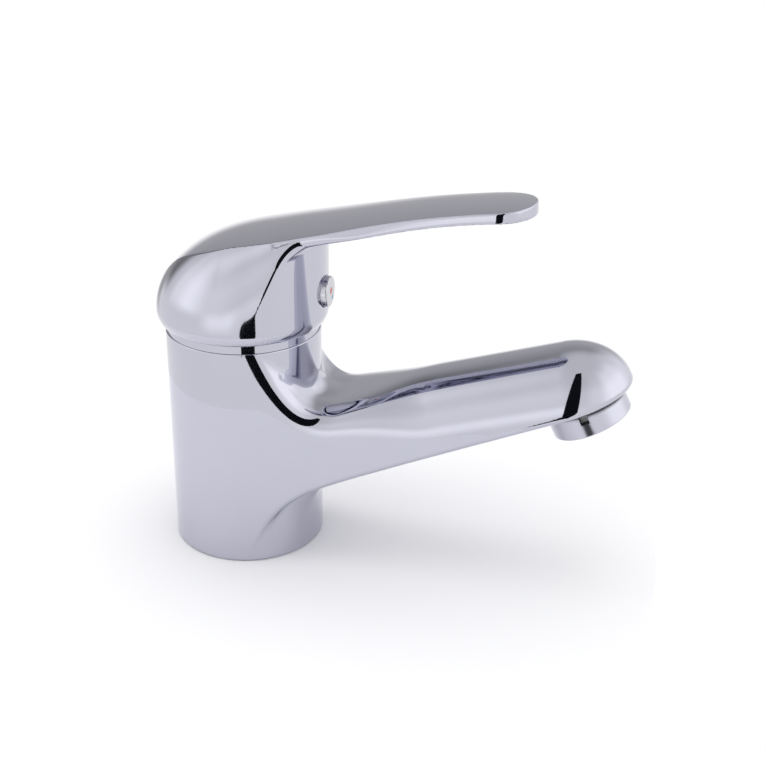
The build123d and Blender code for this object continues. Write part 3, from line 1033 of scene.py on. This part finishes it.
    def _underside(self, skin: Skin, loop: Array) -> None:
        """The gasket's groove, and the plate inside it with the holes of the hoses and the stud.

        Args:
            skin: the casting's skin.
            loop: numbers of the points round the base, in order.
        """
        out = unit(skin.points[loop] * FLAT)
        down = rows_of(-Z_AXIS, len(loop))
        inner, outer, deep = self.groove
        edge = self.hole_edge
        rows = [
            (radius * out + height * Z_AXIS, normals) for radius, height, normals in (
                (outer + edge, 0.0, down), (outer, edge, -out), (outer, deep, -out),
                (inner, deep, out), (inner, edge, out), (inner - edge, 0.0, down))
        ]
        loops = [skin.add_rows(loop, rows)]
        turns = np.linspace(0.0, 2.0 * math.pi, self.hole_sides, endpoint=False)
        spokes = np.stack([np.cos(turns), np.sin(turns), 0.0 * turns], axis=1)
        for x, y, radius, depth in self.holes:
            centre = np.array((x, y, 0.0))
            rim = skin.add_points(centre + (radius + edge) * spokes, rows_of(-Z_AXIS, len(spokes)))
            wall = [(centre + radius * spokes + height * Z_AXIS, -spokes) for height in (edge, depth)]
            skin.close(skin.add_rows(rim, wall), centre + depth * Z_AXIS, -Z_AXIS)
            loops.append(rim)
        self._plate(skin, loops)

    @staticmethod
    def _plate(skin: Skin, loops: Sequence[Array]) -> None:
        """Fills the flat between an outer loop and the holes' loops.

        Args:
            skin: the casting's skin.
            loops: point numbers of the outer loop first, then of each hole.
        """
        numbers = np.concatenate(loops)
        owner = np.concatenate([np.full(len(loop), i) for i, loop in enumerate(loops)])
        edges = []
        for first, loop in zip(np.cumsum([len(loop) for loop in loops]), loops[1:]):
            edges += [(int(first + i), int(first + (i + 1) % len(loop))) for i in range(len(loop))]
        flat = [Vector(xy) for xy in skin.points[numbers, :2]]
        whole_hull = 0
        closeness = 1e-6
        _, _, faces, origins, _, _ = delaunay_2d_cdt(flat, edges, [], whole_hull, closeness)
        for face in faces:
            corners = np.array([origins[i][0] for i in face])
            # three corners on one hole's rim are a face across that hole
            if len(set(owner[corners])) > 1 or owner[corners[0]] == 0:
                skin.faces.append(tuple(numbers[corners[::-1]].tolist()))

    def _outlet(self, skin: Skin, form: Form) -> None:
        """Opens the bore that takes the aerator, with a soft edge.

        Args:
            skin: the casting's skin.
            form: the form it was meshed from.
        """
        rim = self.outlet_bore + self.outlet_edge

        def keep(points: Array) -> Array:
            """Everything outside the bore, and what lies above its depth."""
            ahead, side, up = self.outlet.split(points)
            return np.maximum(np.hypot(ahead, side) - rim, up - self.outlet_depth)

        cut = skin.by_turn(skin.trim(form, keep), self.outlet.origin, self.outlet.ahead, Y_AXIS)
        ahead, side, up = self.outlet.split(skin.points[cut])
        out = unit(np.outer(ahead, self.outlet.ahead) + np.outer(side, Y_AXIS))
        normals = skin.normals[cut]
        onward = unit(-out + normals * (out * normals).sum(axis=1, keepdims=True))
        axis = rows_of(self.outlet.up, len(cut))
        loop = skin.round_over(cut, onward, axis, self.outlet_edge)
        bore = self.outlet.origin + out * self.outlet_bore
        wall = bore + axis * (up + 2.0 * self.outlet_edge)[:, None]
        skin.add_rows(loop, [(wall, -out), (bore + axis * self.outlet_depth, -out)])


# The handle: domed hub and lever


@dataclass
class Handle:
    """The lever handle: a domed hub whose roof climbs into a flat, crowned lever."""

    # hub, with its rim turned in to a hollow round the pivot
    radius: float = 25.9
    rim: float = 73.0
    rim_radius: float = 24.7
    rim_round: float = 0.4
    rim_wall: float = 0.9
    bulge: float = 76.6
    lip_curve: float = 6.0
    lip_share: float = 0.9
    pivot: float = 62.0
    hollow_turn: float = 85.0
    hollow_rows: int = 16
    # flanks, which square up towards the lever's tip
    squareness: float = 2.0
    lever_squareness: float = 11.0
    square_power: float = 1.7
    tip_centre: float = 76.0
    rear_slope: float = 0.26
    # top face and the edge round it
    crown_drop: float = 1.0
    crown_width: float = 12.4
    crown_lean: float = 1.05
    crease_depth: float = 3.7
    crease_round: float = 0.7
    crease_rear: float = 5.0
    crease_run: Span = (2.0, -20.0)
    # underside and the lower edge of the flanks
    under_start: float = 2.0
    lever_hollow: float = 3.0
    eave_round: float = 1.0
    eave_hub: float = 2.0
    eave_run: Span = (40.0, 20.0)
    eave_start: Span = (7.0, 14.0)
    # button's seat
    button_height: float = 83.2
    button_bore: float = 4.85
    button_edge: float = 0.25
    button_seat: float = 22.0
    seat_front: float = 15.0
    # mesh: its cells, and the room left round the form
    cell: float = 0.42
    margin: float = 2.0
    room: float = 3.0
    width_line: Spline = field(default_factory=lambda: Spline(
        [(-5.0, 25.36), (0.0, 25.86), (5.0, 25.36), (9.0, 24.2), (13.0, 22.9), (18.0, 21.1), (24.0, 18.8),
         (30.0, 16.8), (36.0, 15.2), (44.0, 13.7), (55.0, 12.4), (76.0, 11.0)]))
    crown_line: Spline = field(default_factory=lambda: Spline(
        [(-26.6, 71.0), (-25.2, 79.5), (-22.0, 87.2), (-18.0, 91.6), (-13.0, 95.3), (-6.0, 98.5),
         (0.0, 100.4), (7.0, 102.1), (14.0, 103.7), (22.0, 105.4), (30.0, 107.1), (36.0, 108.4),
         (45.0, 110.3), (56.0, 112.4), (67.0, 114.1), (77.0, 115.3), (90.0, 116.0)]))
    under_line: Spline = field(default_factory=lambda: Spline(
        [(1.5, 4.0), (5.0, 45.0), (7.6, 75.0), (8.9, 85.5), (10.8, 91.0), (13.5, 95.0), (17.0, 98.0),
         (22.0, 100.2), (30.0, 102.6), (39.0, 104.7), (50.5, 107.4), (61.6, 109.6), (76.7, 111.5),
         (90.0, 112.3)]))

    def lip(self, points: Array) -> Array:
        """Radius of the hub's wall: upright above the bulge, drawn in to the rim below it."""
        drop = np.clip(self.bulge - points[:, 2], 0.0, self.lip_share * self.lip_curve)
        return self.radius - self.lip_curve + np.sqrt(self.lip_curve ** 2 - drop ** 2)

    def wall(self, points: Array) -> Array:
        """The hub's upright round wall."""
        return np.hypot(points[:, 0], points[:, 1]) - self.lip(points)

    def sides(self, points: Array) -> Array:
        """Round hub behind, and flanks ahead that narrow and run out into the lever with its round tip.

        Args:
            points: places, one per row.

        Returns:
            A value that is 0 on the surface and negative inside.
        """
        x = points[:, 0]
        ahead = np.clip(x, 0.0, self.tip_centre)
        beyond = np.minimum(x, 0.0) + np.maximum(x - self.tip_centre, 0.0)
        across = np.hypot(beyond, points[:, 1])
        half_width = self.width_line(ahead) - self.radius + self.lip(points)
        power = self.squareness + self.lever_squareness * (ahead / self.tip_centre) ** self.square_power
        rise = np.maximum(points[:, 2] - self.bulge, 0.0)
        roof = self.crown_line(np.maximum(x, 0.0)) + self.rear_slope * np.minimum(x, 0.0)
        top = roof + self.crease_depth - self.bulge
        reach = 1.0 + superellipse(across / half_width, rise / top, power)
        return np.hypot(across, rise) * (1.0 - 1.0 / reach)

    def sheet(self, points: Array) -> Array:
        """The crowned top face, from the back of the hub to the lever's tip.

        Args:
            points: places, one per row.

        Returns:
            A value that is 0 on the surface and negative inside.
        """
        x = points[:, 0]
        drop = self.crown_drop * (points[:, 1] / self.crown_width) ** 2
        slope = self.crown_line.slope(x)
        return (points[:, 2] - self.crown_line(x) + drop) / np.hypot(self.crown_lean, slope)

    def crease(self, points: Array) -> Array:
        """Radius of the edge round the top face, soft at the back of the hub."""
        return self.crease_round + self.crease_rear * smooth_step(*self.crease_run, points[:, 0])

    def eave(self, points: Array) -> Array:
        """Radius of the lower edge of the flanks: soft by the hub, tight on the lever."""
        radius = self.eave_round + self.eave_hub * smooth_step(*self.eave_run, points[:, 0])
        return radius * smooth_step(*self.eave_start, points[:, 0]) + LEAST_ROUND

    def lever_under(self, points: Array) -> Array:
        """The lever's underside, an arch that comes down beside the hub's front."""
        x = np.maximum(points[:, 0], self.under_start)
        return (self.under_line(x) - points[:, 2]) / np.hypot(1.0, self.under_line.slope(x))

    def form(self) -> Form:
        """Puts the handle's outside together.

        Returns:
            The whole form.
        """
        below = RoundUnion(self.wall, self.lever_under, level(self.lever_hollow))
        flanks = round_cut(self.sides, below, self.eave)
        return round_cut(flanks, self.sheet, self.crease)

    def build(self) -> None:
        """Meshes the outside, turns the rim in to the hollow hub and opens the button's seat."""
        form = self.form()
        side = self.radius + self.margin
        front = self.tip_centre + self.width_line.y.min() + self.margin
        low = (-side, -side, self.rim - self.room)
        high = (front, side, self.crown_line.y.max() + self.room)
        skin = Skin.of_form(form, low, high, self.cell)
        self._rim(skin, form)
        self._seat(skin, form)
        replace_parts(skin.build("lever_handle", CHROME, "lever"), "handle")

    def _rim(self, skin: Skin, form: Form) -> None:
        """Rolls the rim's edge over and closes the hollow inside, round the pivot.

        Args:
            skin: the handle's skin.
            form: the form it was meshed from.
        """
        edge = self.rim + self.rim_round

        def keep(points: Array) -> Array:
            """Everything above the rim's edge."""
            return points[:, 2] - edge

        cut = skin.by_turn(skin.trim(form, keep), np.zeros(3), X_AXIS, Y_AXIS)
        down = rows_of(-Z_AXIS, len(cut))
        flat = unit(skin.normals[cut] * FLAT)
        loop = skin.round_over(cut, down, -flat, self.rim_round)
        inner = self.rim_radius - self.rim_wall
        bore = math.hypot(inner, self.rim - self.pivot)
        start = math.asin((self.rim - self.pivot) / bore)
        rows = [(flat * inner + Z_AXIS * self.rim, down)]
        for turn in np.linspace(start, math.radians(self.hollow_turn), self.hollow_rows):
            arm = flat * math.cos(turn) + Z_AXIS * math.sin(turn)
            rows.append((arm * bore + Z_AXIS * self.pivot, -arm))
        skin.close(skin.add_rows(loop, rows), Z_AXIS * (self.pivot + bore), -Z_AXIS)

    def _seat(self, skin: Skin, form: Form) -> None:
        """Opens the round seat of the index button in the hub's front.

        Args:
            skin: the handle's skin.
            form: the form it was meshed from.
        """
        rim = self.button_bore + self.button_edge
        centre = np.array((0.0, 0.0, self.button_height))

        def keep(points: Array) -> Array:
            """Everything outside the seat, and what lies behind its front."""
            across = np.hypot(points[:, 1], points[:, 2] - self.button_height)
            return np.maximum(across - rim, self.seat_front - points[:, 0])

        cut = skin.by_turn(skin.trim(form, keep), centre, Y_AXIS, Z_AXIS)
        out = unit((skin.points[cut] - centre) * (Y_AXIS + Z_AXIS))
        normals = skin.normals[cut]
        onward = unit(-out + normals * (out * normals).sum(axis=1, keepdims=True))
        loop = skin.round_over(cut, onward, rows_of(-X_AXIS, len(cut)), self.button_edge)
        floor = out * self.button_bore + centre + X_AXIS * self.button_seat
        skin.add_rows(loop, [(floor, -out)])


# Nodes of the frame that keep their own shape


NODE_FINISHES: dict[str, Finish] = {
    "trim_ring": CHROME,
    "aerator_housing": RING,
    "index_button": SATIN,
    "red_mark": RED_ENAMEL,
    "blue_mark": BLUE_ENAMEL,
    "aerator_insert": GREY_ACETAL,
    "aerator_screen": GAUZE,
    "aerator_washer": RUBBER,
    "base_gasket": RUBBER,
    "retaining_nut": NUT_BRASS,
    "cartridge_housing": NYLON,
    "cartridge_base": NYLON,
    "inlet_seals": RUBBER,
    "outlet_seal": RUBBER,
    "fixed_disc": CERAMIC,
    "moving_disc": CERAMIC,
    "disc_carrier": BLACK_ACETAL,
    "spindle_rotor": BLACK_ACETAL,
    "spindle": STEM_BRASS,
    "pivot_pin": STEEL,
    "set_screw": STEEL,
}


def dress_nodes() -> None:
    """Gives every node that is shown as it is its finish."""
    for name, finish in NODE_FINISHES.items():
        finish.dress(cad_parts[name])
        LOG.info("%s: %s", name, finish.name)


# Studio


@dataclass
class Studio:
    """A pale floor in a light tent, and the camera."""

    camera_place: tuple[float, float, float] = (123.47, -346.12, 221.93)
    camera_ahead: tuple[float, float, float] = (-0.20365, 0.88222, -0.42453)
    camera_roll: float = 0.83
    camera_near: float = 10.0
    lens: float = 61.17
    sensor: float = 36.0
    floor_radius: float = 130.0
    floor_sides: int = 128
    floor_colour: str = "#f4f4f6"
    floor_roughness: float = 0.9
    lamp_size: float = 500.0
    lamp_height: float = 600.0
    lamp_power: float = 0.9
    flag_place: tuple[float, float, float] = (119.0, -268.0, 50.0)
    flag_half_width: float = 50.0
    flag_half_height: float = 650.0
    flag_colour: str = "#101216"
    plain_white: str = "#ffffff"
    # strength of the tent's light by compass angle, for its walls and its ground
    walls: tuple[Span, ...] = (
        (-180.0, 1.2), (-155.0, 1.42), (-120.0, 1.08), (-75.0, 0.92), (-45.0, 1.1), (-15.0, 1.46),
        (15.0, 1.46), (50.0, 1.15), (85.0, 0.55), (120.0, 0.5), (148.0, 0.24), (165.0, 0.9), (180.0, 1.2))
    ground: tuple[Span, ...] = (
        (-180.0, 1.0), (-135.0, 1.0), (-112.0, 1.3), (-92.0, 1.3), (-75.0, 1.05), (-45.0, 1.0),
        (-15.0, 1.1), (15.0, 1.1), (50.0, 1.0), (124.0, 1.0), (130.0, 0.45), (140.0, 0.5), (150.0, 0.97),
        (180.0, 1.0))
    # what the walls are multiplied by, by angle of height
    heights: tuple[Span, ...] = (
        (-90.0, 1.0), (20.0, 1.0), (50.0, 0.82), (90.0, 0.8))
    zenith: float = 0.8
    # sines of the heights between which each layer takes over from the one below
    ground_run: Span = (-0.45, -0.15)
    wall_run: Span = (-0.14, 0.1)
    zenith_run: Span = (0.7, 0.98)

    def build(self) -> None:
        """Sets up camera, floor, lamp, flag, world and view."""
        self._camera()
        self._floor()
        self._lamp()
        self._flag()
        self._world()
        bpy.context.scene.view_settings.view_transform = "Standard"

    def _camera(self) -> None:
        """The photograph's viewpoint, with its slight roll."""
        camera = bpy.data.cameras.new("camera")
        camera.lens = self.lens
        camera.sensor_width = self.sensor
        camera.clip_start = self.camera_near * MM
        holder = add_object("camera", camera)
        turn = Vector(self.camera_ahead).to_track_quat("-Z", "Y").to_matrix().to_4x4()
        roll = Matrix.Rotation(math.radians(self.camera_roll), 4, "Z")
        holder.matrix_world = Matrix.Translation(Vector(self.camera_place) * MM) @ turn @ roll
        bpy.context.scene.camera = holder

    @staticmethod
    def _board(
        name: str, corners: Sequence[Sequence[float]], paint: str, sockets: dict[str, object]
    ) -> bpy.types.Object:
        """Makes one flat, plainly painted board of the stage.

        Args:
            name: the board's name.
            corners: its outline, in millimetres.
            paint: its material's name.
            sockets: constants on the shader's own sockets.

        Returns:
            The board.
        """
        mesh = bpy.data.meshes.new(name)
        mesh.from_pydata([Vector(corner) * MM for corner in corners], [], [tuple(range(len(corners)))])
        material = bpy.data.materials.new(paint)
        material.use_nodes = True
        shader = material.node_tree.nodes["Principled BSDF"]
        for socket, value in sockets.items():
            shader.inputs[socket].default_value = value
        mesh.materials.append(material)
        return add_object(name, mesh)

    def _floor(self) -> None:
        """A round white table top."""
        turns = [2.0 * math.pi * i / self.floor_sides for i in range(self.floor_sides)]
        edge = [(self.floor_radius * math.cos(t), self.floor_radius * math.sin(t), 0.0) for t in turns]
        paint = {"Base Color": linear(self.floor_colour), "Roughness": self.floor_roughness}
        floor = self._board("floor", edge, "white_table_paint", paint)

    def _lamp(self) -> None:
        """A broad lamp overhead that whitens the floor; metal doesn't show it."""
        light = bpy.data.lights.new("overhead_panel", "AREA")
        light.shape = "DISK"
        light.size = self.lamp_size * MM
        light.energy = self.lamp_power
        lamp = add_object("overhead_panel", light)
        lamp.location = (0.0, 0.0, self.lamp_height * MM)
        lamp.visible_glossy = False

    def _flag(self) -> None:
        """A black cloth between camera and object, seen in reflections only, as the chrome's dark stripes."""
        x, y, z = self.flag_place
        across = Vector((-y, x, 0.0)).normalized() * self.flag_half_width
        low = Vector((x, y, z - self.flag_half_height))
        high = Vector((x, y, z + self.flag_half_height))
        corners = (low - across, low + across, high + across, high - across)
        paint = {"Base Color": linear(self.flag_colour), "Roughness": 1.0, "Specular IOR Level": 0.0}
        flag = self._board("tent_gap", corners, "black_cloth", paint)
        flag.visible_camera = False
        flag.visible_diffuse = False
        flag.visible_shadow = False

    def _world(self) -> None:
        """A tent with a pale ground, bright sides and a grey back, the same to camera, metal and glass."""
        world = bpy.data.worlds.new("light_tent")
        bpy.context.scene.world = world
        world.use_nodes = True
        tree = world.node_tree
        way = add_node(tree, "ShaderNodeTexCoord").outputs["Generated"]
        parts = add_node(tree, "ShaderNodeSeparateXYZ", {0: way})
        rise = parts.outputs["Z"]
        turn = add_node(
            tree, "ShaderNodeMath", {0: parts.outputs["Y"], 1: parts.outputs["X"]}, operation="ARCTAN2"
        ).outputs[0]
        compass = add_node(
            tree, "ShaderNodeMapRange", {"Value": turn, "From Min": -math.pi, "From Max": math.pi}
        ).outputs["Result"]
        height = add_node(tree, "ShaderNodeMapRange", {"Value": rise, "From Min": -1.0}).outputs["Result"]
        tones = []
        for place, stops in (
            (compass, [((angle + 180.0) / 360.0, tone) for angle, tone in self.walls]),
            (compass, [((angle + 180.0) / 360.0, tone) for angle, tone in self.ground]),
            (height, [(0.5 + 0.5 * math.sin(math.radians(angle)), tone) for angle, tone in self.heights]),
        ):
            node = add_node(tree, "ShaderNodeValToRGB", {"Fac": place})
            ramp = node.color_ramp
            ramp.interpolation = "EASE"
            while len(ramp.elements) < len(stops):
                ramp.elements.new(0.5)
            for element, (position, tone) in zip(ramp.elements, stops):
                element.position = position
                element.color = (tone, tone, tone, 1.0)
            tones.append(node.outputs["Color"])
        walls, ground, heights = tones
        upper = add_node(
            tree, "ShaderNodeMix", {"Factor": 1.0, 6: walls, 7: heights},
            data_type="RGBA", blend_type="MULTIPLY",
        ).outputs[2]
        overhead = (self.zenith, self.zenith, self.zenith, 1.0)
        tent = linear(self.plain_white)
        for layer, (low, high) in (
            (ground, self.ground_run), (upper, self.wall_run), (overhead, self.zenith_run),
        ):
            share = add_node(
                tree, "ShaderNodeMapRange", {"Value": rise, "From Min": low, "From Max": high},
                interpolation_type="SMOOTHSTEP",
            ).outputs["Result"]
            tent = add_node(
                tree, "ShaderNodeMix", {"Factor": share, 6: tent, 7: layer}, data_type="RGBA"
            ).outputs[2]
        path = add_node(tree, "ShaderNodeLightPath")
        seen = path.outputs["Is Camera Ray"]
        for kind in ("Is Glossy Ray", "Is Transmission Ray"):
            seen = add_node(
                tree, "ShaderNodeMath", {0: seen, 1: path.outputs[kind]}, operation="MAXIMUM"
            ).outputs[0]
        # dull surfaces are lit by plain white
        shown = add_node(
            tree, "ShaderNodeMix", {"Factor": seen, 6: linear(self.plain_white), 7: tent}, data_type="RGBA"
        ).outputs[2]
        tree.links.new(shown, tree.nodes["Background"].inputs["Color"])


def main() -> None:
    """Builds the pieces in order."""
    logging.basicConfig(level=logging.INFO, format="%(message)s")
    Casting().build()
    Handle().build()
    dress_nodes()
    Studio().build()


if __name__ == "__main__":
    main()
